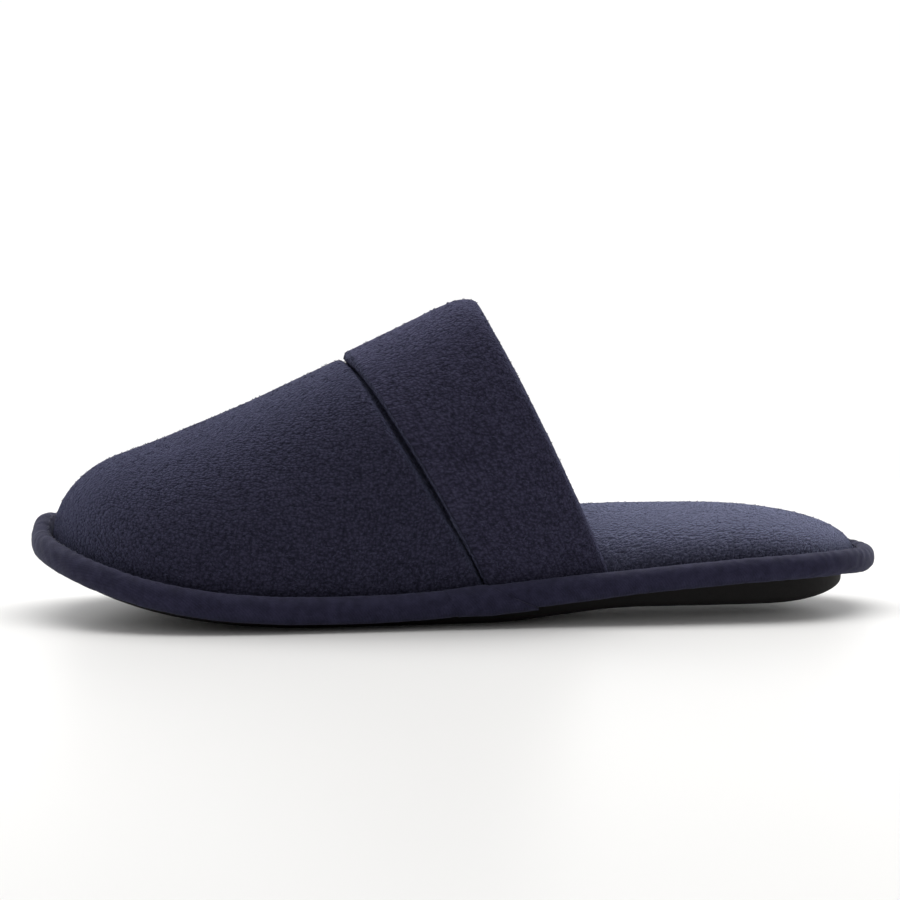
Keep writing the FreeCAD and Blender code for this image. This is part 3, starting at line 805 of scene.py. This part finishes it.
def rolled_in(distance, floor):
    """How deep the vamp's edge rolls into the seam's crease, with a level floor before its end."""
    t = np.clip(1 - (distance - floor) / CREASE_REACH, 0, 1)
    return CREASE_DROP * (1 - np.sqrt(1 - t**2))


def inner_face(fine):
    """The inside of a cloth: every RATIO-th line of its outer grid, a cloth's thickness under it."""
    return (fine - normals_of(fine) * CLOTH_THICK)[::RATIO, ::RATIO]


def make_vamp_cloth():
    n, m = UPPER_ROWS * RATIO + 1, UPPER_COLUMNS * RATIO + 1
    coarse = upper_grid(SUNK, UPPER_ROWS + 1, UPPER_COLUMNS + 1, -SEAM_OVERLAP)
    moved = puffed(coarse, held_edges(coarse), 0.5)
    fine = upper_grid(SUNK, n, m, -SEAM_OVERLAP) + upsample(moved, n, m)
    fine += normals_of(fine) * NOSE_FULLNESS * (1 - smooth(fine[..., :1], -137.0, -95.0))
    before_seam = smooth(fine[..., :1], -85.0, -45.0) * smooth(fine[..., 2:], 50.0, 75.0)
    fine += normals_of(fine) * SEAM_FULLNESS * before_seam
    angles = dome_angles(m)
    up_the_side = 0.3 + 0.7 * smooth(np.sin(angles), 0.05, 0.5)
    crease = CREASE * (1 - 0.95 * ridge_share(angles)) * up_the_side
    fine -= normals_of(fine) * rolled_in(from_end(fine), crease)[..., None]
    facts = open_terry_facts(fine, 1)
    outer = with_pile(fine, facts, 0)
    # Painted shade: the colour near the seam end is darkened to stand for the shade in the crease.
    facts = crushed(facts, from_end(fine), CREASE_SHADE_REACH)
    body = shell(outer, inner_face(fine), RATIO, facts)
    return add_mesh("vamp_pile_cloth", *joined(body, stray_loops(outer, facts, VAMP_STRAYS, 3)), vamp_terry)


def make_vamp_padding():
    top, bottom = (upper_grid(depth, UPPER_ROWS + 1, UPPER_COLUMNS + 1, 3.0) for depth in (2.5, 4.4))
    return layer_between("vamp_padding", top, bottom, foam)


def make_vamp_lining():
    """The lining, seen inside the mouth, with a few soft wrinkles."""
    top, bottom = (upper_grid(depth, 2 * UPPER_ROWS + 1, 2 * UPPER_COLUMNS + 1, 0.1) for depth in (4.6, 5.3))
    along, around = lengths_of(bottom)
    wrinkle = (value_noise(along / 16, around / 9, 60) - 0.5) * 0.7
    wrinkle *= np.minimum(1.0, from_end(bottom) / 6)
    top, bottom = (grid - normals_of(grid) * wrinkle[..., None] for grid in (top, bottom))
    return layer_between("vamp_inner_cloth", top, bottom, lining_weave)


# ---- cuff

CUFF_AROUND, CUFF_PROFILE = 62, 34
CUFF_STRAYS = 3000
CUFF_FRONT, CUFF_BACK, CUFF_HELD = 0.8, 45.5, 1.6
CUFF_TILT, CUFF_CROWN = 0.7, 1.0
CUFF_LEVELS = np.linspace(-CUFF_PROUD, CUFF_DEPTH, 6)


def corner(centre_p, centre_q, reach_p, reach_q, start):
    """A quarter of an ellipse in the cuff's profile."""
    a = np.linspace(start, start + math.pi / 2, 24)[:, None]
    return np.stack([centre_p + reach_p * np.cos(a), centre_q + reach_q * np.sin(a)], -1)


def cuff_profile(angles, shrink, points):
    """The cuff's closed section at each angle: (distance from the seam, depth), even round its length."""
    near_ridge = ridge_share(angles)
    front = CUFF_FRONT - CUFF_FORWARD * near_ridge + shrink
    back = CUFF_BACK + 0.5 * np.clip(np.sin(angles), 0, 1) ** 2 - shrink
    top, bottom = SUNK - CUFF_PROUD + shrink, CUFF_DEPTH - shrink
    trim = max(shrink - 0.5, 0.0)
    rear_p, rear_q = 3.4 + 4.4 * near_ridge - trim, 3.4 + 1.4 * near_ridge - trim
    rear_under = 3.0 - 1.2 * near_ridge - trim
    front_p, front_q, front_under = (size - trim + 0 * angles for size in (2.7, 2.3, 1.6))
    dense = np.concatenate([
        corner(back - rear_p, top + rear_q, rear_p, -rear_q, 0.0),
        corner(front + front_p, top + front_q, front_p, -front_q, math.pi / 2),
        corner(front + front_under, bottom - front_under, front_under, -front_under, math.pi),
        corner(back - rear_under, bottom - rear_under, rear_under, -rear_under, 1.5 * math.pi),
    ])
    dense = np.concatenate([dense, dense[:1]])
    flat = np.concatenate([dense, np.zeros(dense.shape[:2] + (1,))], -1)
    section = even(flat, points + 1)[:-1, :, :2]
    share = np.clip(section[..., 0] / CUFF_LONG, 0, 1)
    outer_side = np.clip((CUFF_DEPTH / 2 - section[..., 1]) / (CUFF_DEPTH / 2 - top), 0, 1)
    section[..., 1] -= CUFF_CROWN * (4 * share * (1 - share)) ** 0.6 * outer_side
    section[..., 1] -= CUFF_TILT * (1 - 2 * share) * outer_side * near_ridge
    return section


def point_between_levels(x, angle, depth):
    """upper_point where every point has its own depth."""
    last = len(CUFF_LEVELS) - 1
    at = np.clip((depth + CUFF_PROUD) / (CUFF_PROUD + CUFF_DEPTH) * last, 0, last - 0.0001)
    low = at.astype(int)
    out = np.zeros(np.shape(x) + (3,))
    for k in range(last):
        here = low == k
        if here.any():
            share = (at[here] - k)[:, None]
            over, under = (upper_point(x[here], angle[here], CUFF_LEVELS[level]) for level in (k, k + 1))
            out[here] = over * (1 - share) + under * share
    return out


def cuff_line(angles, share, depth):
    """Points at each angle, a share of the way from the seam to the opening and at a depth."""
    x = crossing(lambda x: point_between_levels(x, angles, depth), angles, share, 75.0, 26)
    return point_between_levels(x, angles, depth)


def cuff_grid(around, points, shrink=0.0):
    """The cuff's surface: rows at angles from the outer side to the inner, closed round the folded band."""
    angles = dome_angles(around)
    profile = cuff_profile(angles, shrink, points)
    lines = [cuff_line(angles, line[:, 0] / CUFF_LONG, line[:, 1]) for line in profile]
    return np.stack(lines, axis=1), profile.swapaxes(0, 1)


def make_cuff_cloth():
    n, m = CUFF_AROUND * RATIO + 1, CUFF_PROFILE * RATIO
    coarse, section = cuff_grid(CUFF_AROUND + 1, CUFF_PROFILE)
    held = section[..., 0] < CUFF_HELD
    held[0], held[-1] = True, True
    moved = puffed(coarse, held, 3.0, closed=True)
    fine, section = cuff_grid(n, m)
    fine = fine + upsample(moved, n, m, closed=True)
    along = run_lengths(fine)
    around = along - along[n // 2]
    half = half_width(around.T).T
    facts = terry_facts(section[..., 0] + 3 * section[..., 1], around, half, 40)
    outer = with_pile(fine, facts, 1, closed=True)
    # Painted shade: the cuff's colour near its front, in the seam's crease, is darkened.
    facts = crushed(facts, section[..., 0] - CUFF_FRONT, 1.4)
    strays = stray_loops(outer, facts, CUFF_STRAYS, 4, closed=True)
    return add_mesh("cuff_pile_cloth", *joined(band(outer, facts), strays), cuff_terry)


def make_cuff_padding():
    grid, _ = cuff_grid(CUFF_AROUND + 1, CUFF_PROFILE, 1.9)
    return add_mesh("cuff_padding", *band(grid, {}), foam)


# ---- footbed

FOOT_ROWS, FOOT_COLUMNS = 82, 40
FOOT_STRAYS = 1900
SQUEEZE = 6.6


def footbed_grid(depth, rows, columns):
    """The footbed's top, drawn in at the sides where it runs inside the upper."""
    inset = EDGE_INSET + depth
    toe = plan_tips(inset + SQUEEZE)[0] + TIP_GAP
    heel = plan_tips(inset)[1] - TIP_GAP
    angles = dome_angles(181)[None, :]
    x = close_at_ends(toe, heel, 700) + 0 * angles
    open_air = footbed_point(x, angles + 0 * x, depth, inset, *plan_tips(inset))
    drawn_in = footbed_point(x, angles + 0 * x, depth, inset + SQUEEZE, toe, heel)
    inside = smooth(line_x(OPENING, open_air[..., 2]) + 0.5 - x, 0.0, 7.0)[..., None]
    return across_and_along(open_air * (1 - inside) + drawn_in * inside, rows, columns)


def make_footbed_cloth():
    n, m = FOOT_ROWS * RATIO + 1, FOOT_COLUMNS * RATIO + 1
    coarse = footbed_grid(SUNK, FOOT_ROWS + 1, FOOT_COLUMNS + 1)
    moved = puffed(coarse, held_edges(coarse), 3.0)
    fine = footbed_grid(SUNK, n, m) + upsample(moved, n, m)
    facts = open_terry_facts(fine, 80)
    outer = with_pile(fine, facts, 2)
    body = shell(outer, inner_face(fine), RATIO, facts)
    strays = stray_loops(outer, facts, FOOT_STRAYS, 5)
    return add_mesh("footbed_pile_cloth", *joined(body, strays), footbed_top_lit_terry)


def make_footbed_padding():
    rows, columns, under = 140, 50, 24
    top = footbed_grid(SUNK + 1.7, rows, columns)
    low = np.linspace(top[:, -1], top[:, 0], under + 2)[1:-1].swapaxes(0, 1)
    low[..., 2] = 0.0
    grid = np.concatenate([top, low], axis=1)
    grid[..., 2] = np.maximum(grid[..., 2], sole_height(grid[..., 0]) + BOARD_TOP + 0.1)
    return add_mesh("footbed_padding", *band(grid, {}), foam)


# ---- binding

EDGE_COUNT = 900
END_SIDES, END_STEPS = 40, 70


def toe_lift(points):
    """How far the edge rises over the sole line at the inner side of the toe."""
    return TOE_LIFT * smooth(-points[..., 0], 112.0, 137.0) * smooth(points[..., 1], 0.0, 18.0)


def on_sole_line(line, under=0.0):
    """A closed run of points on a line in plan, that far under the sole line."""
    line = np.concatenate([line, line[:1]])
    return np.stack([line[:, 0], line[:, 1], sole_height(line[:, 0]) - under], -1)


def edge_path():
    """The sole line in space with its frames: points, and unit vectors along, outwards and up."""
    dense = on_sole_line(plan_line(0.0, EDGE_COUNT * 3))[:, None, :]
    points = even(dense, EDGE_COUNT + 1)[:-1, 0]
    points[:, 2] += toe_lift(points)
    points[:, 0] -= 0.5 * smooth(-points[:, 0], 120.0, 141.0)
    points[:, 2] -= 1.0 * smooth(points[:, 0], 128.0, 142.0)
    along = unit(np.roll(points, -1, 0) - np.roll(points, 1, 0))
    outwards = unit(np.cross(along, [0, 0, 1]))
    return points, along, outwards, np.cross(outwards, along)


EDGE = edge_path()
EDGE_PITCH = float(np.linalg.norm(EDGE[0][1] - EDGE[0][0]))
EDGE_RUN = np.arange(EDGE_COUNT) * EDGE_PITCH


def turn_angles(sides):
    return np.arange(sides) * 2 * math.pi / sides


def tape_ring(angles, grow):
    """Points round the binding at section angles (0 is outwards, a quarter turn is up)."""
    points, _, outwards, up = EDGE
    tall = TAPE_TALL / 2 + 0.2 - 0.4 * smooth(points[:, :1], 30.0, 60.0) + grow
    wide = TAPE_WIDE / 2 + grow
    c, s = np.cos(angles)[None, :], np.sin(angles)[None, :]
    return points[:, None] + outwards[:, None] * (wide * c)[..., None] + up[:, None] * (tall * s)[..., None]


def puckers(angles):
    """Small gathers of the tape, stronger round the toe and the heel."""
    x, run = EDGE[0][:, :1], EDGE_RUN[:, None]
    curved = 0.35 + 0.65 * np.maximum(smooth(-x, 70, 125), smooth(x, 70, 120))
    wander = value_noise(run / 9, angles[None, :] * 0.8, 90)
    gather = np.sin(2 * math.pi * (run / 6.3 + 0.22 * np.sin(angles)[None, :] + 2.2 * wander))
    slack = value_noise(run / 4.3, angles[None, :] * 1.5, 91) - 0.5
    top_side = 0.4 + 0.6 * np.clip(np.sin(angles), 0, 1)[None, :]
    return 0.14 * curved * gather * top_side + 0.16 * slack


def make_edge_tape():
    sides, inner_sides = 40, 20
    outer = tape_ring(turn_angles(sides), puckers(turn_angles(sides)))
    inner = tape_ring(turn_angles(inner_sides), -TAPE_WALL)
    faces = grid_faces(EDGE_COUNT, sides, looped=True)
    faces += grid_faces(EDGE_COUNT, inner_sides, EDGE_COUNT * sides, looped=True, flip=True)
    return add_mesh("edge_tape", np.concatenate([flattened(outer), flattened(inner)]), faces, {}, tape)


def make_tape_end():
    """The tape's turned end, lapped over the start of it at the outer waist on the slant."""
    points = EDGE[0]
    near = (points[:, 1] < 0) & (np.abs(points[:, 0] - 8) < 24)
    angles = np.radians(np.linspace(-120, 128, END_SIDES))
    skin = tape_ring(angles, puckers(angles))[near]
    normal = (tape_ring(angles, 1.0) - tape_ring(angles, 0.0))[near]
    over, under = [], []
    for j, rise in enumerate(np.sin(angles)):
        front_edge, rear_edge = -6.0 - 2.0 * rise, 14.5 - 8.5 * rise
        at = np.linspace(front_edge, rear_edge, END_STEPS)
        lift = 0.14 + (0.55 - 0.22 * rise) * smooth(at, front_edge, front_edge + 12.0)
        base, out = (read_at(at, points[near, 0], part[:, j]) for part in (skin, normal))
        over.append(base + out * lift[:, None])
        under.append(base + out * 0.04)
    return layer_between("edge_tape_end", np.stack(over[::-1], 1), np.stack(under[::-1], 1), tape)


def make_edge_filler():
    """Three strands of soft cord twisted together inside the tape."""
    points, _, outwards, up = EDGE
    total = EDGE_COUNT * EDGE_PITCH
    turns = round(total / 22.0)
    angles = turn_angles(9)
    vertices, faces = [], []
    for strand in range(3):
        twist = 2 * math.pi * (turns * EDGE_RUN / total + strand / 3)
        centre = points + outwards * (1.15 * np.cos(twist))[:, None] + up * (1.75 * np.sin(twist))[:, None]
        side, top = np.cos(angles)[None, :, None], np.sin(angles)[None, :, None]
        ring = centre[:, None] + 1.35 * (outwards[:, None] * side + up[:, None] * top)
        faces += grid_faces(EDGE_COUNT, 9, strand * EDGE_COUNT * 9, looped=True)
        vertices.append(flattened(ring))
    return add_mesh("edge_filler", np.concatenate(vertices), faces, {}, filler)


# ---- sole cloth

SOLE_CLOTH_INSET, SOLE_CLOTH_TOE_INSET = 3.2, 2.5


def make_sole_cloth():
    """The cloth that closes the sole underneath as far as the tape, slightly puckered along its sewn edge."""
    toe, heel = plan_tips(SOLE_CLOTH_TOE_INSET)[0], plan_tips(SOLE_CLOTH_INSET)[1]
    x = close_at_ends(toe + 0.01, heel - 0.01, 500)
    sprung = 1 - smooth(x, -134.0, -105.0)
    spans = zip(plan_span(SOLE_CLOTH_INSET, x), plan_span(SOLE_CLOTH_TOE_INSET, x))
    outer, inner = (level * (1 - sprung) + raised * sprung for level, raised in spans)
    across = np.linspace(0, 1, 121)[None, :]
    flat = np.stack([x + 0 * across, inner + (outer - inner) * across, sole_height(x) + 0 * across], -1)
    grid = across_and_along(flat, 170, 70)
    along, around = lengths_of(grid)
    from_edge = half_width(around) - np.abs(around)
    grid[..., 2] += toe_lift(grid) * (1 - smooth(from_edge, 0.0, 8.0))
    gather = np.sin(2 * math.pi * (along / 4.0 + value_noise(along / 11, around / 30, 70)))
    pucker = 0.22 * np.exp(-from_edge / 4.0) * gather
    under, over = grid.copy(), grid.copy()
    under[..., 2] += pucker - OUTSOLE_UNDER
    over[..., 2] += pucker + SOLE_TOP
    return layer_between("sole_cloth", under, over, sole_weave)


# ---- stitches

STITCH_LONG, STITCH_PITCH, STITCH_SLANT = 2.6, 4.0, 0.09
STITCH_RINGS, STITCH_SIDES = 7, 7


def spaced(points, normals):
    """Starts, directions and normals of stitches at an even pitch along a run of points."""
    length = run_lengths(points[:, None])[:, 0]
    count = int(length[-1] / STITCH_PITCH)
    at = np.arange(count) * length[-1] / count
    starts = read_at(at, length, points)
    forward = unit(read_at(at + STITCH_LONG, length, points) - starts)
    up = read_at(at + STITCH_LONG / 2, length, normals)
    up = unit(up - forward * np.sum(up * forward, axis=1)[:, None])
    return starts, unit(forward + np.cross(up, forward) * STITCH_SLANT), up


def stitches(name, points, normals, radius=0.27):
    """Sewn stitches: each a short rounded length of thread whose ends dive into the cloth."""
    t = np.linspace(0, 1, STITCH_RINGS)
    dive = (2 * t - 1) ** 4
    angles = turn_angles(STITCH_SIDES)
    side_share, up_share = np.sin(angles)[None, :, None], np.cos(angles)[None, :, None]
    wide = radius * (1 - 0.45 * dive)[:, None, None]
    vertices, faces = [], []
    for k, (start, forward, up) in enumerate(zip(*spaced(points, normals))):
        centre = start + forward * (STITCH_LONG * t)[:, None] + up * (0.10 - 0.42 * dive)[:, None]
        ring = centre[:, None] + wide * (up * up_share + np.cross(forward, up) * side_share)
        base = k * STITCH_RINGS * STITCH_SIDES
        vertices.append(flattened(ring))
        faces += grid_faces(STITCH_RINGS, STITCH_SIDES, base, closed=True, flip=True)
        faces += end_caps(STITCH_RINGS, STITCH_SIDES, base)
    return add_mesh(name, np.concatenate(vertices), faces, {}, thread)


def make_needle_stitches():
    angle = np.radians([130.0])
    rows = np.concatenate([np.arange(EDGE_COUNT), [0]])
    skin, out = tape_ring(angle, 0.15)[rows, 0], tape_ring(angle, 1.0)[rows, 0]
    return stitches("needle_stitches", skin, out - skin)


def make_bobbin_stitches():
    points = on_sole_line(plan_line(5.2, 1600), OUTSOLE_UNDER + 0.05)
    return stitches("bobbin_stitches", points, np.zeros_like(points) + [0, 0, -1.0])


def make_seam_stitches():
    angles = np.linspace(math.pi - 0.06, 0.06, 240)
    x = seam_x(angles, 0.0) + 0.1
    points, under = upper_point(x, angles, 3.0), upper_point(x, angles, 4.0)
    return stitches("seam_stitches", points, points - under, radius=0.25)


# ---- putting it together

def join_in(piece, slot, *nodes):
    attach(piece, "root")
    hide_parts(*nodes)
    return piece


join_in(make_vamp_cloth(), "terry", "vamp_terry")
join_in(make_vamp_padding(), "foam", "vamp_foam")
join_in(make_vamp_lining(), "lining", "vamp_lining")
join_in(make_cuff_cloth(), "terry", "cuff_terry")
join_in(make_cuff_padding(), "foam", "cuff_foam")
join_in(make_footbed_cloth(), "terry", "footbed_cover")
join_in(make_footbed_padding(), "foam", "footbed_foam")
join_in(make_edge_tape(), "bias_tape", "binding_tape")
join_in(make_tape_end(), "bias_tape", "binding_lap")
join_in(make_edge_filler(), "filler", "binding_filler_cord")
sole_cloth = join_in(make_sole_cloth(), "backing_cloth", "backing_cloth")
join_in(make_needle_stitches(), "thread", "edge_needle_thread")
join_in(make_bobbin_stitches(), "thread", "edge_bobbin_thread")
join_in(make_seam_stitches(), "thread", "cuff_seam_thread")

for name, material in (("outsole", rubber_material()), ("sole_board", board_material())):
    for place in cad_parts[name].material_slots:
        place.material = material


# ---- stage, light and camera

FRONT_GLOW, BACK_GLOW = 0.30, 1.02
FLOOR_RADIUS, FLOOR_SIDES = 480.0, 96


def make_floor():
    """A round pale floor, slightly glossy."""
    angles = turn_angles(FLOOR_SIDES)
    radii = np.linspace(60.0, FLOOR_RADIUS, 9)[:, None]
    rings = np.stack([radii * np.cos(angles), radii * np.sin(angles), 0 * radii * angles], -1)
    middle = [[0, 1 + k, 1 + (k + 1) % FLOOR_SIDES] for k in range(FLOOR_SIDES)]
    faces = middle + grid_faces(len(radii), FLOOR_SIDES, 1, closed=True)
    material = new_material("pale_floor", 0.36, 0.4)
    mottle = noise(material, placed(material), 300.0)
    coloured(material, mottle, (0.3, (0.795, 0.788, 0.775)), (0.7, (0.815, 0.808, 0.795)))
    vertices = np.concatenate([np.zeros((1, 3)), flattened(rings)])
    add_mesh("floor", vertices, faces, {}, material)


def aimed(name, data, place, target):
    """An object at a place that points at its target."""
    obj = bpy.data.objects.new(name, data)
    obj.location = Vector(place)
    obj.rotation_euler = (Vector(target) - obj.location).to_track_quat("-Z", "Y").to_euler()
    bpy.context.scene.collection.objects.link(obj)
    return obj


def area_light(name, place, target, wide, tall, power):
    light = bpy.data.lights.new(name, "AREA")
    light.shape = "RECTANGLE"
    light.size = wide
    light.size_y = tall
    light.energy = power
    aimed(name, light, place, target)


def make_light():
    """A white surround that is brightest behind the slipper, with a wide soft light over it."""
    world = bpy.data.worlds.new("studio")
    world.use_nodes = True
    where = node(world, "TexCoord").outputs["Generated"]
    depth = node(world, "SeparateXYZ", {"Vector": where}).outputs["Y"]
    ends = {"Value": depth, "From Min": -0.5, "From Max": 0.7, "To Min": FRONT_GLOW, "To Max": BACK_GLOW}
    spread = node(world, "MapRange", ends, interpolation_type="SMOOTHSTEP")
    background = world.node_tree.nodes["Background"]
    feed(background, {"Strength": spread.outputs["Result"], "Color": (1.0, 1.0, 1.0, 1)})
    bpy.context.scene.world = world
    area_light("overhead", (0.05, 0.45, 1.1), (0, 0.15, 0), 1.6, 1.0, 17.0)
    area_light("front", (-0.4, -1.6, 0.9), (0, 0, 0.03), 1.2, 0.9, 2.0)
    bpy.context.scene.view_settings.view_transform = "Standard"


def make_camera():
    camera = bpy.data.cameras.new("camera")
    camera.lens = 139.2
    camera.sensor_width = 36.0
    camera.clip_start = 0.05
    place = Vector((-103.569, -1183.800, 167.008)) * MM
    target = Vector((-2.407, 0.0, 54.861)) * MM
    bpy.context.scene.camera = aimed("camera", camera, place, target)


make_floor()
make_light()
make_camera()
